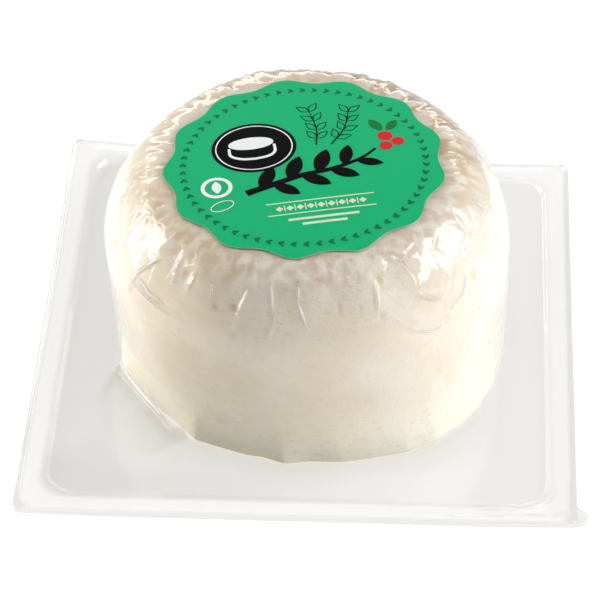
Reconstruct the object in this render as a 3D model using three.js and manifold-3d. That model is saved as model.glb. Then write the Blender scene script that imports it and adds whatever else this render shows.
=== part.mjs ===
// A small cured goat cheese, vacuum packed: a drum of white cheese stands on a clear formed sheet,
// a clear skin of film is drawn tight over both, and a scalloped paper label is stuck on the film.
// Millimetres, +Z up. The origin is the middle of the sheet, on the surface that the pack lies on.
import * as THREE from "three";
import Module from "manifold-3d";
import { mergeVertices } from "three/addons/utils/BufferGeometryUtils.js";

// The clear sheet: its outline, the shallow pocket formed in it, and the lip bent down at its edge
const SHEET_WIDTH = 150;
const SHEET_DEPTH = 154.4;
const SHEET_TAPER = 0.0215;
const SHEET_THICKNESS = 0.4;
const SHEET_CORNER = 2.5;
const POCKET_DEPTH = 1.0;
const POCKET_INSET = 7.6;
const POCKET_CORNER = 9;
const POCKET_WALL = 1.0;
const LIP_WIDTH = 2.0;
const LIP_DROP = 0.8;
const BACK_CORNER_LIFT = 1.0;
const FRONT_CORNER_LIFT = 0.5;
const CURL_START = 0.68;
const FLOOR_INSET = 14;

// The peel tab, a round ear of the sheet at its front right corner
const TAB_REACH = 2.8;
const TAB_LENGTH = 7.2;
const TAB_ROOT = 3;

// The cheese as its film shows it: the outside of the skin
const SKIN_RADIUS = 55.9;
const FOOT_WALL_RADIUS = 54.4;
const WALL_CURVE = 1.3;
const SKIN_EDGE_HEIGHT = 59.6;
const CROWN = 0.6;
const SHOULDER_REACH = 17;
const SHOULDER_DROP = 24;
const SHOULDER_POWER = 1.7;
const SKIN_THICKNESS = 0.25;
const GAP = 0.3;

// The drum stands a little off the middle and leans to the left and back
const DRUM_X = 1.06;
const DRUM_Y = -0.88;
const LEAN_X = -0.055;
const LEAN_Y = 0.03;
const TOP_SLOPE = 0.046;

// The foot of the skin: a circle pulled out into tucks, each an angle in degrees and a reach
const FOOT_RADIUS = 54.2;
const FOOT_SHIFT_X = 0.6;
const FOOT_SHIFT_Y = 0.4;
const TUCKS = [
  { angle: -157, reach: 2.0 },
  { angle: -122, reach: 2.1 },
  { angle: -115, reach: 1.4 },
  { angle: -97, reach: 1.1 },
  { angle: -60, reach: 1.9 },
  { angle: -52, reach: 2.4 },
  { angle: -38, reach: 1.0 },
  { angle: 24, reach: 1.8 },
  { angle: 58, reach: 1.4 },
  { angle: 97, reach: 2.0 },
  { angle: 131, reach: 1.2 },
  { angle: 166, reach: 1.6 },
];
const FILLET_REACH = 1.8;
const FILLET_RISE = 0.6;
const TUCK_HEIGHT = 9;

// The unevenness of the cheese: broad lumps, and the knobs that the mould leaves round the rim
const LUMP = 0.16;
const LUMP_WAVES = [
  { round: 3, climb: 2.2, start: 0 },
  { round: 5, climb: -3.1, start: 1 },
  { round: 8, climb: 5, start: 0 },
];
const LUMP_START = 0.25;
const KNOB = 0.22;
const KNOBS_ROUND = 20;
const KNOB_MIDDLE = 0.9;
const KNOB_BAND = 0.12;
const KNOB_SLANT = 0.6;
const EVEN_RIM = 6;

// The bottom corner of the cheese
const BOTTOM_ROUND = 3.2;

// The label: scallops round a circle, its middle measured from the middle of the drum's top
const LABEL_RADIUS = 37.2;
const LABEL_THICKNESS = 0.25;
const SCALLOPS = 13;
const SCALLOP_DEPTH = 1.06;
const SCALLOP_TURN = -8.5;
const LABEL_X = 0.58;
const LABEL_Y = -1.94;

// How finely the faces are cut
const COLUMNS = 80;
const CORNER_STEPS = 4;
const WALL_STEPS = 3;
const SHOULDER_STEPS = 7;
const CROWN_STEPS = 2;
const LABEL_COLUMNS = SCALLOPS * 6;
const LABEL_RINGS = [1, 0.82, 0.45];
const TAB_STEPS = 6;

const FILM_FLOOR = SHEET_THICKNESS + GAP;
const FLANGE_RISE = POCKET_DEPTH;
const SKIN_BASE = FILM_FLOOR + SKIN_THICKNESS;
const SHOULDER_START = SKIN_EDGE_HEIGHT - SHOULDER_DROP;
const CROWN_RADIUS = SKIN_RADIUS - SHOULDER_REACH;

const wasm = await Module();
wasm.setup();

const radians = THREE.MathUtils.degToRad;
const lerp = THREE.MathUtils.lerp;
const smooth = (value) => THREE.MathUtils.smoothstep(value, 0, 1);

// The angle of a column of faces, counted round from the right hand side
const columnAngle = (column, columns) => (2 * Math.PI * (column % columns)) / columns;

// A closed body turned from rings: a lathe gives the faces, and place says where each ring lies in
// each column. The first and the last ring are single points on the axis.
function turned(rings, columns, place) {
  const profile = [];
  for (let ring = 0; ring < rings; ring++) profile.push(new THREE.Vector2(1, ring));
  const geometry = new THREE.LatheGeometry(profile, columns);
  const position = geometry.attributes.position;
  for (let column = 0; column <= columns; column++) {
    for (let ring = 0; ring < rings; ring++) {
      const point = place(column % columns, ring);
      position.setXYZ(column * rings + ring, point.x, point.y, point.z);
    }
  }
  geometry.deleteAttribute("normal");
  geometry.deleteAttribute("uv");
  return geometry;
}

// Leans a point of the drum: the wall shears, and the top tips down to the left
function leaned(x, y, z) {
  const share = z / SKIN_EDGE_HEIGHT;
  return new THREE.Vector3(DRUM_X + x + LEAN_X * z, DRUM_Y + y + LEAN_Y * z, z + TOP_SLOPE * x * share);
}

// Broad lumps over the wall and the shoulder, and the slanting knobs round the rim
function unevenness(angle, height) {
  const share = height / SKIN_EDGE_HEIGHT;
  let lumps = 0;
  for (const wave of LUMP_WAVES) lumps += Math.sin(wave.round * angle + wave.climb * share + wave.start);
  const row = (share - KNOB_MIDDLE) / KNOB_BAND;
  const band = Math.max(0, 1 - row * row);
  const knobs = Math.sin(KNOBS_ROUND * angle + KNOB_SLANT * row);
  return LUMP * lumps * smooth(share / LUMP_START) + KNOB * band * knobs;
}

// The radius of the drum's wall and the height of its crown, before the unevenness
function wallRadius(height) {
  const drop = Math.max(0, 1 - height / SHOULDER_START);
  return SKIN_RADIUS - (SKIN_RADIUS - FOOT_WALL_RADIUS) * Math.pow(drop, WALL_CURVE);
}

function crownHeight(radius) {
  if (radius <= CROWN_RADIUS) {
    const share = radius / CROWN_RADIUS;
    return SKIN_EDGE_HEIGHT + CROWN * (1 - share * share);
  }
  const run = Math.pow((radius - CROWN_RADIUS) / SHOULDER_REACH, SHOULDER_POWER);
  return SHOULDER_START + SHOULDER_DROP * Math.pow(1 - run, 1 / SHOULDER_POWER);
}

// The outline of the drum from the bottom of the wall to the middle of the crown, as radius and height
function drumStations() {
  const stations = [];
  const foot = SKIN_BASE + TUCK_HEIGHT;
  for (let step = 0; step < WALL_STEPS; step++) {
    const height = lerp(foot, SHOULDER_START, step / WALL_STEPS);
    stations.push([wallRadius(height), height]);
  }
  for (let step = 0; step <= SHOULDER_STEPS; step++) {
    const turn = (Math.PI / 2) * (step / SHOULDER_STEPS);
    const across = step === SHOULDER_STEPS ? 0 : Math.pow(Math.cos(turn), 2 / SHOULDER_POWER);
    const up = Math.pow(Math.sin(turn), 2 / SHOULDER_POWER);
    stations.push([CROWN_RADIUS + SHOULDER_REACH * across, SHOULDER_START + SHOULDER_DROP * up]);
  }
  for (let step = 1; step <= CROWN_STEPS; step++) {
    const radius = CROWN_RADIUS * (1 - step / (CROWN_STEPS + 1));
    stations.push([radius, crownHeight(radius)]);
  }
  stations.push([0, crownHeight(0)]);
  return stations;
}

// One station of the drum in one column, moved in by depth along the outline's own slope
function drumPoint(stations, index, angle, depth) {
  const [radius, height] = stations[index];
  const before = stations[Math.max(0, index - 1)];
  const after = stations[Math.min(stations.length - 1, index + 1)];
  const slope = new THREE.Vector2(after[0] - before[0], after[1] - before[1]).normalize();
  if (radius === 0) slope.set(-1, 0);
  const rise = unevenness(angle, height) * smooth((radius - CROWN_RADIUS) / EVEN_RIM) - depth;
  const out = radius + slope.y * rise;
  const up = height - slope.x * rise;
  return leaned(out * Math.cos(angle), out * Math.sin(angle), up);
}

// The foot line of the skin: straight tents of film run from each tuck to the foot circle
function footRadius(angle) {
  const circle = FOOT_RADIUS + FOOT_SHIFT_X * Math.cos(angle) + FOOT_SHIFT_Y * Math.sin(angle);
  let radius = circle;
  for (const tuck of TUCKS) {
    const turn = angle - radians(tuck.angle);
    const away = Math.abs(Math.atan2(Math.sin(turn), Math.cos(turn)));
    const spread = Math.acos(circle / (circle + tuck.reach));
    if (away < spread) radius = Math.max(radius, circle / Math.cos(spread - away));
  }
  return radius;
}

// A rounded rectangle, inset from the sheet's edge, with a station for each column. It is cut a
// little shorter at its right hand side.
function sheetPoint(column, inset) {
  const quarter = COLUMNS / 4;
  const side = (quarter - CORNER_STEPS) / 2;
  const part = Math.floor((column % COLUMNS) / quarter);
  const step = (column % COLUMNS) % quarter;
  const halfWidth = SHEET_WIDTH / 2 - inset;
  const halfDepth = SHEET_DEPTH / 2 - inset;
  const corner = lerp(SHEET_CORNER, POCKET_CORNER, Math.min(1, inset / POCKET_INSET));
  const odd = part % 2 === 1;
  const along = (odd ? halfWidth : halfDepth) - corner;
  const across = (odd ? halfDepth : halfWidth) - corner;
  const point = new THREE.Vector2();
  if (step <= side) {
    point.set(across + corner, along * (step / side));
  } else if (step < side + CORNER_STEPS) {
    const turn = (Math.PI / 2) * ((step - side) / CORNER_STEPS);
    point.set(across + corner * Math.cos(turn), along + corner * Math.sin(turn));
  } else {
    point.set(across * (1 - (step - side - CORNER_STEPS) / side), along + corner);
  }
  point.rotateAround(new THREE.Vector2(), (part * Math.PI) / 2);
  point.y *= 1 - (SHEET_TAPER * point.x) / (SHEET_WIDTH / 2);
  return point;
}

// The sheet's corners curl up a little, more at the back
function cornerLift(x, y) {
  const sideways = (Math.abs(x) / (SHEET_WIDTH / 2) - CURL_START) / (1 - CURL_START);
  const endways = (Math.abs(y) / (SHEET_DEPTH / 2) - CURL_START) / (1 - CURL_START);
  return (y > 0 ? BACK_CORNER_LIFT : FRONT_CORNER_LIFT) * smooth(sideways) * smooth(endways);
}

// The rings that the sheet and the flange of the skin share: the lip, the flange, the pocket's wall
// and its floor, which is flat from there in
const SHEET_RINGS = [
  { inset: 0, height: FLANGE_RISE - LIP_DROP, curl: 1 },
  { inset: LIP_WIDTH, height: FLANGE_RISE, curl: 1 },
  { inset: POCKET_INSET - POCKET_WALL / 2, height: FLANGE_RISE, curl: 1 },
  { inset: POCKET_INSET + POCKET_WALL / 2, height: 0, curl: 1 },
  { inset: FLOOR_INSET, height: 0, curl: 0 },
];

function sheetRingPoint(column, ring, lift) {
  const { inset, height, curl } = SHEET_RINGS[ring];
  const flat = sheetPoint(column, inset);
  return new THREE.Vector3(flat.x, flat.y, height + lift + curl * cornerLift(flat.x, flat.y));
}

// The clear formed sheet: from the middle of its underside out over the lip to the middle of its top
function baseSheetGeometry() {
  const last = SHEET_RINGS.length - 1;
  const rings = 2 * SHEET_RINGS.length + 2;
  return turned(rings, COLUMNS, (column, ring) => {
    if (ring === 0) return new THREE.Vector3(0, 0, 0);
    if (ring === rings - 1) return new THREE.Vector3(0, 0, SHEET_THICKNESS);
    if (ring <= last + 1) return sheetRingPoint(column, last - (ring - 1), 0);
    return sheetRingPoint(column, ring - last - 2, SHEET_THICKNESS);
  });
}

// The ear of the peel tab, its root inside the lip
function tabGeometry() {
  const round = TAB_LENGTH / 2;
  const ear = new THREE.Shape();
  ear.moveTo(-TAB_ROOT, 0);
  ear.lineTo(TAB_REACH - round / 2, 0);
  ear.absellipse(TAB_REACH - round / 2, round, round / 2, round, -Math.PI / 2, Math.PI / 2, false);
  ear.lineTo(-TAB_ROOT, TAB_LENGTH);
  ear.closePath();
  const settings = { depth: SHEET_THICKNESS, bevelEnabled: false, curveSegments: TAB_STEPS };
  const geometry = new THREE.ExtrudeGeometry(ear, settings);
  const lip = FLANGE_RISE - LIP_DROP + cornerLift(SHEET_WIDTH / 2, -SHEET_DEPTH / 2);
  geometry.translate(SHEET_WIDTH / 2, (-SHEET_DEPTH / 2) * (1 - SHEET_TAPER), lip);
  return geometry;
}

function solidOf(geometry) {
  geometry.deleteAttribute("normal");
  geometry.deleteAttribute("uv");
  const merged = mergeVertices(geometry, 1e-4);
  const kept = [];
  const index = merged.index.array;
  for (let corner = 0; corner < index.length; corner += 3) {
    const [a, b, c] = [index[corner], index[corner + 1], index[corner + 2]];
    if (a !== b && b !== c && c !== a) kept.push(a, b, c);
  }
  const vertProperties = merged.attributes.position.array;
  return new wasm.Manifold(new wasm.Mesh({ numProp: 3, vertProperties, triVerts: new Uint32Array(kept) }));
}

function joined(first, second) {
  const mesh = solidOf(first).add(solidOf(second)).getMesh();
  const geometry = new THREE.BufferGeometry();
  geometry.setAttribute("position", new THREE.BufferAttribute(mesh.vertProperties, 3));
  geometry.setIndex(new THREE.BufferAttribute(mesh.triVerts, 1));
  return geometry;
}

// The cheese: a flat bottom, a rounded bottom corner, the wall, the shoulder and the low crown
function cheeseGeometry() {
  const stations = drumStations();
  const depth = SKIN_THICKNESS + GAP;
  const bottom = FILM_FLOOR;
  const wall = (height) => wallRadius(height) - depth;
  const corner = [
    [wall(bottom) - BOTTOM_ROUND, bottom],
    [wall(bottom) - BOTTOM_ROUND * (1 - Math.SQRT1_2), bottom + BOTTOM_ROUND * (1 - Math.SQRT1_2)],
    [wall(bottom + BOTTOM_ROUND), bottom + BOTTOM_ROUND],
  ];
  const rings = 1 + corner.length + stations.length;
  return turned(rings, COLUMNS, (column, ring) => {
    const angle = columnAngle(column, COLUMNS);
    if (ring === 0) return leaned(0, 0, bottom).setZ(bottom);
    if (ring <= corner.length) {
      const [radius, height] = corner[ring - 1];
      const point = leaned(radius * Math.cos(angle), radius * Math.sin(angle), height);
      return ring === 1 ? point.setZ(bottom) : point;
    }
    return drumPoint(stations, ring - 1 - corner.length, angle, depth);
  });
}

// The skin of film, a closed thin shell: its top side runs from the crown down the drum, out over the
// foot, the pocket, the flange and the lip, and its underside runs back. It is open below the cheese.
function skinGeometry() {
  const stations = drumStations();
  const foot = [
    { out: FILLET_REACH, height: SKIN_BASE, tuck: 1, flat: true },
    { out: FILLET_REACH / 6, height: SKIN_BASE + FILLET_RISE, tuck: 1, flat: false },
    { out: 0, height: SKIN_BASE + TUCK_HEIGHT / 3, tuck: 0.45, flat: false },
  ];
  const outside = SHEET_RINGS.length + foot.length + stations.length;
  const rings = 2 * outside;
  const sideRing = (column, ring, depth) => {
    const angle = columnAngle(column, COLUMNS);
    if (ring < SHEET_RINGS.length) return sheetRingPoint(column, ring, SKIN_BASE - depth);
    if (ring < SHEET_RINGS.length + foot.length) {
      const { out, height, tuck, flat } = foot[ring - SHEET_RINGS.length];
      const wall = wallRadius(height);
      const stand = tuck === 1 ? footRadius(angle) : wall + tuck * Math.max(0, footRadius(angle) - wall);
      const radius = stand + out - (flat ? 0 : depth);
      const point = leaned(radius * Math.cos(angle), radius * Math.sin(angle), height);
      return tuck === 1 ? point.setZ(height - depth) : point;
    }
    return drumPoint(stations, ring - SHEET_RINGS.length - foot.length, angle, depth);
  };
  return turned(rings, COLUMNS, (column, ring) => {
    if (ring < outside) return sideRing(column, outside - 1 - ring, SKIN_THICKNESS);
    return sideRing(column, ring - outside, 0);
  });
}

// The label: a thin scalloped disc that follows the crown and bends down over the shoulder
function labelGeometry() {
  const rings = 2 * (LABEL_RINGS.length + 1);
  return turned(rings, LABEL_COLUMNS, (column, ring) => {
    const below = ring <= LABEL_RINGS.length;
    const share = [0, ...LABEL_RINGS.toReversed()][below ? ring : rings - 1 - ring];
    const angle = columnAngle(column, LABEL_COLUMNS);
    const wave = SCALLOP_DEPTH * Math.cos(SCALLOPS * (angle - radians(SCALLOP_TURN)));
    const radius = share * LABEL_RADIUS + wave * share * share;
    const x = LABEL_X + radius * Math.cos(angle);
    const y = LABEL_Y + radius * Math.sin(angle);
    const height = crownHeight(Math.hypot(x, y)) + GAP + (below ? 0 : LABEL_THICKNESS);
    return leaned(x, y, height);
  });
}

// Materials
const clear = { metalness: 0, transparent: true };
const film = { ...clear, color: 0xf4f5f5, roughness: 0.08, opacity: 0.3 };
const sheet = { ...clear, color: 0xe6e7e7, roughness: 0.15, opacity: 0.5 };
const cheeseWhite = new THREE.MeshStandardMaterial({ color: 0xf1e8d6, roughness: 0.55, metalness: 0 });
const clearFilm = new THREE.MeshStandardMaterial(film);
const clearSheet = new THREE.MeshStandardMaterial(sheet);
const greenPaper = new THREE.MeshStandardMaterial({ color: 0x18aa6b, roughness: 0.6, metalness: 0 });

function named(name, geometry, material) {
  const mesh = new THREE.Mesh(geometry, material);
  mesh.name = name;
  return mesh;
}

const pack = new THREE.Group();
pack.add(named("cheese", cheeseGeometry(), cheeseWhite));
pack.add(named("top_film", skinGeometry(), clearFilm));
pack.add(named("base_sheet", joined(baseSheetGeometry(), tabGeometry()), clearSheet));
pack.add(named("label", labelGeometry(), greenPaper));

export default pack;
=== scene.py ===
# A vacuum-packed goat cheese: a drum of white cheese on a clear formed sheet, a clear skin of film drawn
# tight over both, and a scalloped printed label on the film. Lengths are in metres unless a name says mm.
import random
from bisect import bisect_left
from functools import partialmethod
from math import atan2, cos, degrees, exp, hypot, pi, radians, sin, sqrt

import bmesh
import bpy
from mathutils import Matrix, Vector, noise


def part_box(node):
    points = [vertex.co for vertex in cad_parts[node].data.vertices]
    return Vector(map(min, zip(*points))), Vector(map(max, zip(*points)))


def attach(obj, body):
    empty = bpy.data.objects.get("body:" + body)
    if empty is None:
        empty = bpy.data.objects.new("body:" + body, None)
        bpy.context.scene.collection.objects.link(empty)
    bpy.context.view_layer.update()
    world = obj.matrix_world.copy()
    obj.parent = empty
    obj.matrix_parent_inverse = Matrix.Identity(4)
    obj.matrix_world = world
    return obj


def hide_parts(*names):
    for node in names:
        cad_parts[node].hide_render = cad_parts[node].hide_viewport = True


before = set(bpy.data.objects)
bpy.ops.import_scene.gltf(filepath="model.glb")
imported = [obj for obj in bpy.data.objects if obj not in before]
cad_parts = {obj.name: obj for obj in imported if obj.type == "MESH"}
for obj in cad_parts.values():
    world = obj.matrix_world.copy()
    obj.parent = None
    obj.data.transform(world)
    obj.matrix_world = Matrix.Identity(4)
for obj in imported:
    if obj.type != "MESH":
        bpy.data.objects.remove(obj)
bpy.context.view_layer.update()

MM = 0.001


# Sizes that the frame gives, in millimetres
film_low, film_high = [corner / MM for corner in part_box("top_film")]
sheet_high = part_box("base_sheet")[1] / MM
SHEET_WIDTH = film_high.x - film_low.x
SHEET_TAPER = 0.0215
SHEET_DEPTH = (film_high.y - film_low.y) / (1 + SHEET_TAPER)
BODY = "root"

# The clear sheet, in millimetres
SHEET_THICKNESS = 0.4
SHEET_CORNER = 2.5
POCKET_DEPTH = 1.0
POCKET_INSET = 7.6
POCKET_CORNER = 9
POCKET_WALL = 1.2
LIP_WIDTH = 2.0
LIP_DROP = 0.8
FLOOR_INSET = 14
BACK_CORNER_LIFT = 1.0
FRONT_CORNER_LIFT = 0.5
CURL_START = 0.68
RIBS = [(1.5, 0.45, 0.2), (4.3, 0.5, 0.16), (5.6, 0.4, 0.1)]
TAB_REACH = sheet_high.x - film_high.x
TAB_HALF = 3.6

# The drum's outline, outside the skin, in millimetres
SKIN_RADIUS = 55.9
FOOT_WALL_RADIUS = 54.4
WALL_CURVE = 1.3
EDGE_HEIGHT = 59.6
CROWN = 0.6
SHOULDER_REACH = 17
SHOULDER_DROP = 24
SHOULDER_POWER = 1.7
SKIN_THICKNESS = 0.12
CHEESE_DEPTH = 0.36
FLOOR_FILM = 0.95
CHEESE_FLOOR = 0.62
ROUND_UNDER = 1.5
SHOULDER_START = EDGE_HEIGHT - SHOULDER_DROP
CROWN_RADIUS = SKIN_RADIUS - SHOULDER_REACH

# How the drum stands: its axis, its lean and the slope of its top
DRUM_X = 1.06
DRUM_Y = -0.88
LEAN_X = -0.055
LEAN_Y = 0.03
TOP_SLOPE = 0.046

# The foot's outline as corners, each an angle in degrees and a radius in millimetres. The skin pulls the
# foot out into tucks, and at the left front it stands free of the cheese.
FOOT = [
    (-172, 54.7), (-163, 54.7), (-155, 55.5), (-143, 54.6), (-131, 54.5), (-121.5, 56.4),
    (-115, 55.5), (-106, 55.2), (-101.5, 54.7), (-95, 56.0), (-88, 54.6), (-79, 55.3),
    (-70, 55.6), (-60, 56.8), (-50.5, 57.3), (-41, 56.8), (-31, 56.1), (-20, 55.5),
    (-6, 55.1), (8, 55.2), (18, 54.9), (25, 56.1), (38, 55.0), (52, 55.8),
    (66, 54.9), (82, 54.8), (95, 56.2), (108, 54.8), (123, 55.6), (138, 54.7),
    (152, 54.7), (164, 55.8), (176, 54.7),
]
FREE_SKIN = [(-163, 54.8), (-157, 57.4), (-128, 57.9), (-121.5, 56.6)]
FOOT_SIDES = list(zip(FOOT, FOOT[1:] + FOOT[:1]))
FREE_SIDES = list(zip(FREE_SKIN, FREE_SKIN[1:]))
FILM_STAND = 0.12
FILLET = 0.4
FOOT_DEPTH = 0.2
# How far across the floor, in millimetres, the skin's painted shadow round the foot reaches
SHADOW_REACH = 11
FOOT_TOP = FLOOR_FILM + FILLET
TUCK_HEIGHT = 13
TENT_POWER = 1.1

# The unevenness that the solids have too
LUMP = 0.16
LUMP_WAVES = [(3, 2.2, 0), (5, -3.1, 1), (8, 5, 0)]
LUMP_START = 0.25
KNOB = 0.16
KNOBS_ROUND = 20
KNOB_MIDDLE = 0.9
KNOB_BAND = 0.12
KNOB_SLANT = 0.6
EVEN_RIM = 6

# The label, its middle measured from the middle of the drum's top, in millimetres
LABEL_RADIUS = 37.2
LABEL_THICKNESS = 0.14
LABEL_GAP = 0.12
SCALLOPS = 13
SCALLOP_DEPTH = 1.06
SCALLOP_TURN = radians(-8.5)
LABEL_X = 0.58
LABEL_Y = -1.94
PRINT_TURN = radians(11)

SEED = 41


def smooth(value):
    value = min(1, max(0, value))
    return value * value * (3 - 2 * value)


def mix(low, high, share):
    return low + (high - low) * share


def bell(value):
    return exp(-value * value)


def polar(radius, angle):
    return radius * cos(angle), radius * sin(angle)


def turn_between(first, second):
    """How far the second angle is round from the first, from -pi to pi."""
    return atan2(sin(second - first), cos(second - first))


# The drum's shape


def leaned(x, y, z):
    share = z / EDGE_HEIGHT
    return Vector((DRUM_X + x + LEAN_X * z, DRUM_Y + y + LEAN_Y * z, z + TOP_SLOPE * x * share))


def near_floor(radius, angle, height=0):
    """A point of the drum's foot, low enough to stand straight."""
    return leaned(*polar(radius, angle), 0) + Vector((0, 0, height))


def wall_radius(height):
    drop = max(0, 1 - height / SHOULDER_START)
    return SKIN_RADIUS - (SKIN_RADIUS - FOOT_WALL_RADIUS) * drop**WALL_CURVE


def crown_height(radius):
    if radius <= CROWN_RADIUS:
        return EDGE_HEIGHT + CROWN * (1 - (radius / CROWN_RADIUS) ** 2)
    run = min(1, (radius - CROWN_RADIUS) / SHOULDER_REACH) ** SHOULDER_POWER
    return SHOULDER_START + SHOULDER_DROP * (1 - run) ** (1 / SHOULDER_POWER)


def corner_radius(angle, corners):
    """The radius at an angle of straight lines between corners, or 0 outside them."""
    for (first, near), (second, far) in corners:
        past = turn_between(radians(first), angle)
        ahead = turn_between(angle, radians(second))
        if past >= 0 and ahead >= 0:
            return near * far * sin(past + ahead) / (near * sin(past) + far * sin(ahead))
    return 0


def foot_radius(angle, film):
    radius = corner_radius(angle, FOOT_SIDES)
    return max(radius + FILM_STAND, corner_radius(angle, FREE_SIDES)) if film else radius


def tented(radius, height, angle, film):
    """The radius of the wall with the foot's tucks, which reach up like small tents."""
    climb = (height - FOOT_TOP) / TUCK_HEIGHT
    if climb >= 1:
        return radius
    stand = foot_radius(angle, film) - wall_radius(FOOT_TOP)
    return radius + min(1, 1 - climb) ** TENT_POWER * stand


def unevenness(angle, height):
    share = height / EDGE_HEIGHT
    lumps = sum(sin(waves * angle + climb * share + start) for waves, climb, start in LUMP_WAVES)
    row = (share - KNOB_MIDDLE) / KNOB_BAND
    band = max(0, 1 - row * row)
    knobs = band * sin(KNOBS_ROUND * angle + KNOB_SLANT * row)
    return LUMP * lumps * smooth(share / LUMP_START) + KNOB * knobs


def drum_line():
    """The drum's outline from the middle of the crown to the floor, as many close points."""
    points = [(CROWN_RADIUS * step / 60, crown_height(CROWN_RADIUS * step / 60)) for step in range(60)]
    for step in range(181):
        turn = pi / 2 * (1 - step / 180)
        across = cos(turn) ** (2 / SHOULDER_POWER) if step else 0
        climb = sin(turn) ** (2 / SHOULDER_POWER)
        points.append((CROWN_RADIUS + SHOULDER_REACH * across, SHOULDER_START + SHOULDER_DROP * climb))
    for step in range(1, 181):
        height = SHOULDER_START * (1 - step / 180)
        points.append((wall_radius(height), height))
    return points


DRUM_LINE = drum_line()
DRUM_ALONG = [0.0]
for one, other in zip(DRUM_LINE, DRUM_LINE[1:]):
    DRUM_ALONG.append(DRUM_ALONG[-1] + hypot(other[0] - one[0], other[1] - one[1]))


def on_drum(along):
    """Radius, height and outward slope of the outline at a length along it from the crown."""
    index = min(len(DRUM_LINE) - 1, max(1, bisect_left(DRUM_ALONG, along)))
    before, after = DRUM_LINE[index - 1], DRUM_LINE[index]
    span = DRUM_ALONG[index] - DRUM_ALONG[index - 1]
    share = min(1, max(0, (along - DRUM_ALONG[index - 1]) / span))
    run, fall = (after[0] - before[0]) / span, (after[1] - before[1]) / span
    return mix(before[0], after[0], share), mix(before[1], after[1], share), (-fall, run)


def along_at(height):
    """How far along the outline a height of the shoulder or the wall lies."""
    for index, (radius, level) in enumerate(DRUM_LINE):
        if radius >= CROWN_RADIUS and level <= height:
            return DRUM_ALONG[index]
    return DRUM_ALONG[-1]


# The sheet's shape

# The share of each quarter turn that goes to a straight beside a corner
STRAIGHT = 0.4


def sheet_point(angle, inset):
    """A point of the rounded rectangle that lies inset from the sheet's edge. The points crowd towards its
    corners, and the sheet is cut a little shorter at its right."""
    turn = (angle / (pi / 2)) % 4
    part = int(turn)
    step = turn - part
    corner = mix(SHEET_CORNER, POCKET_CORNER, min(1, inset / POCKET_INSET))
    across, along = SHEET_WIDTH / 2 - inset - corner, SHEET_DEPTH / 2 - inset - corner
    if part % 2:
        across, along = along, across
    round_by = pi / 2 * min(1, max(0, (step - STRAIGHT) / (1 - 2 * STRAIGHT)))
    share = 1 - max(0, 1 - min(step, 1 - step) / STRAIGHT) ** 1.5
    if step < 0.5:
        along *= share
    else:
        across *= share
    point = Vector((across + corner * cos(round_by), along + corner * sin(round_by)))
    point = Matrix.Rotation(part * pi / 2, 2) @ point
    point.y *= 1 - SHEET_TAPER * point.x / (SHEET_WIDTH / 2)
    return point


# How far in from the sheet's edge its rings lie: on the pocket's floor, up its wall and out to the edge
RINGS = [FLOOR_INSET, 11, 9] + [POCKET_INSET + POCKET_WALL * (0.5 - step / 6) for step in range(7)]
RINGS += [6.5, 6.1, 5.75, 5.45, 5.15, 4.8, 4.5, 4.2, 3.9, 3.4, 2.5, 2.0, 1.7, 1.4, 1.1, 0.8, 0.4, 0]


def corner_lift(x, y):
    sideways = (abs(x) / (SHEET_WIDTH / 2) - CURL_START) / (1 - CURL_START)
    endways = (abs(y) / (SHEET_DEPTH / 2) - CURL_START) / (1 - CURL_START)
    return (BACK_CORNER_LIFT if y > 0 else FRONT_CORNER_LIFT) * smooth(sideways) * smooth(endways)


def sheet_height(x, y, inset):
    """The underside of the sheet: the pocket's floor, its soft wall, the flange with its rib, and the lip."""
    wall = smooth((POCKET_INSET + POCKET_WALL / 2 - inset) / POCKET_WALL)
    rib = sum(rise * bell((inset - middle) / half) for middle, half, rise in RIBS)
    lip = LIP_DROP * max(0, 1 - inset / LIP_WIDTH) ** 1.4
    return (POCKET_DEPTH + corner_lift(x, y)) * wall + rib - lip


# Wrinkles of the skin: creases, each a line of angle and height, a width and a rise in millimetres


def crease(line, width, rise):
    return [(radians(angle), along_at(height)) for angle, height in line], width, rise


def arc_crease(angle, height, radius, start, end, width, rise):
    """A crease along an arc round a point of the skin, its radius in millimetres."""
    middle = along_at(height)
    line = []
    for step in range(9):
        turn = radians(mix(start, end, step / 8))
        line.append((radians(angle) + radius * cos(turn) / SKIN_RADIUS, middle - radius * sin(turn)))
    return line, width, rise


def seen_creases():
    """The creases that show on the front of the shoulder."""
    return [
        crease([(-116.5, 53.6), (-115.2, 49.5)], 0.5, 0.4),
        crease([(-104.3, 54.8), (-106.6, 50.4), (-107.8, 44.9)], 0.5, 0.42),
        crease([(-97.7, 56.3), (-96.1, 50.7), (-97, 43.6)], 0.55, 0.5),
        crease([(-88.6, 56), (-88.6, 52.2), (-86, 46.5)], 0.5, 0.46),
        crease([(-64.5, 54.8), (-65.7, 47.4)], 0.6, 0.5),
        crease([(-131.5, 54.5), (-130.3, 49.8)], 0.5, 0.35),
        crease([(-123.7, 54.4), (-124.7, 50)], 0.5, 0.35),
        crease([(-149.2, 43.8), (-143.6, 42.3), (-127.8, 42.2)], 0.55, 0.34),
        crease([(-145.4, 46.5), (-138.3, 44.5), (-130.3, 44)], 0.55, 0.3),
        crease([(-138.2, 53.5), (-144.4, 46.5), (-147.6, 38.3)], 0.6, 0.34),
        crease([(-159, 5), (-150, 3.4), (-137, 3.2), (-123, 2.4)], 0.45, 0.25),
        arc_crease(-45, 51, 6.5, 200, 285, 0.6, 0.2),
        arc_crease(-42, 49, 8.5, 250, 345, 0.7, 0.18),
        arc_crease(-47, 50, 13, 225, 285, 0.8, 0.16),
    ]


def drawn(draw, *spans):
    """A random value from each span."""
    return [draw.uniform(low, high) for low, high in spans]


OTHER_CREASES = 32


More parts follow.
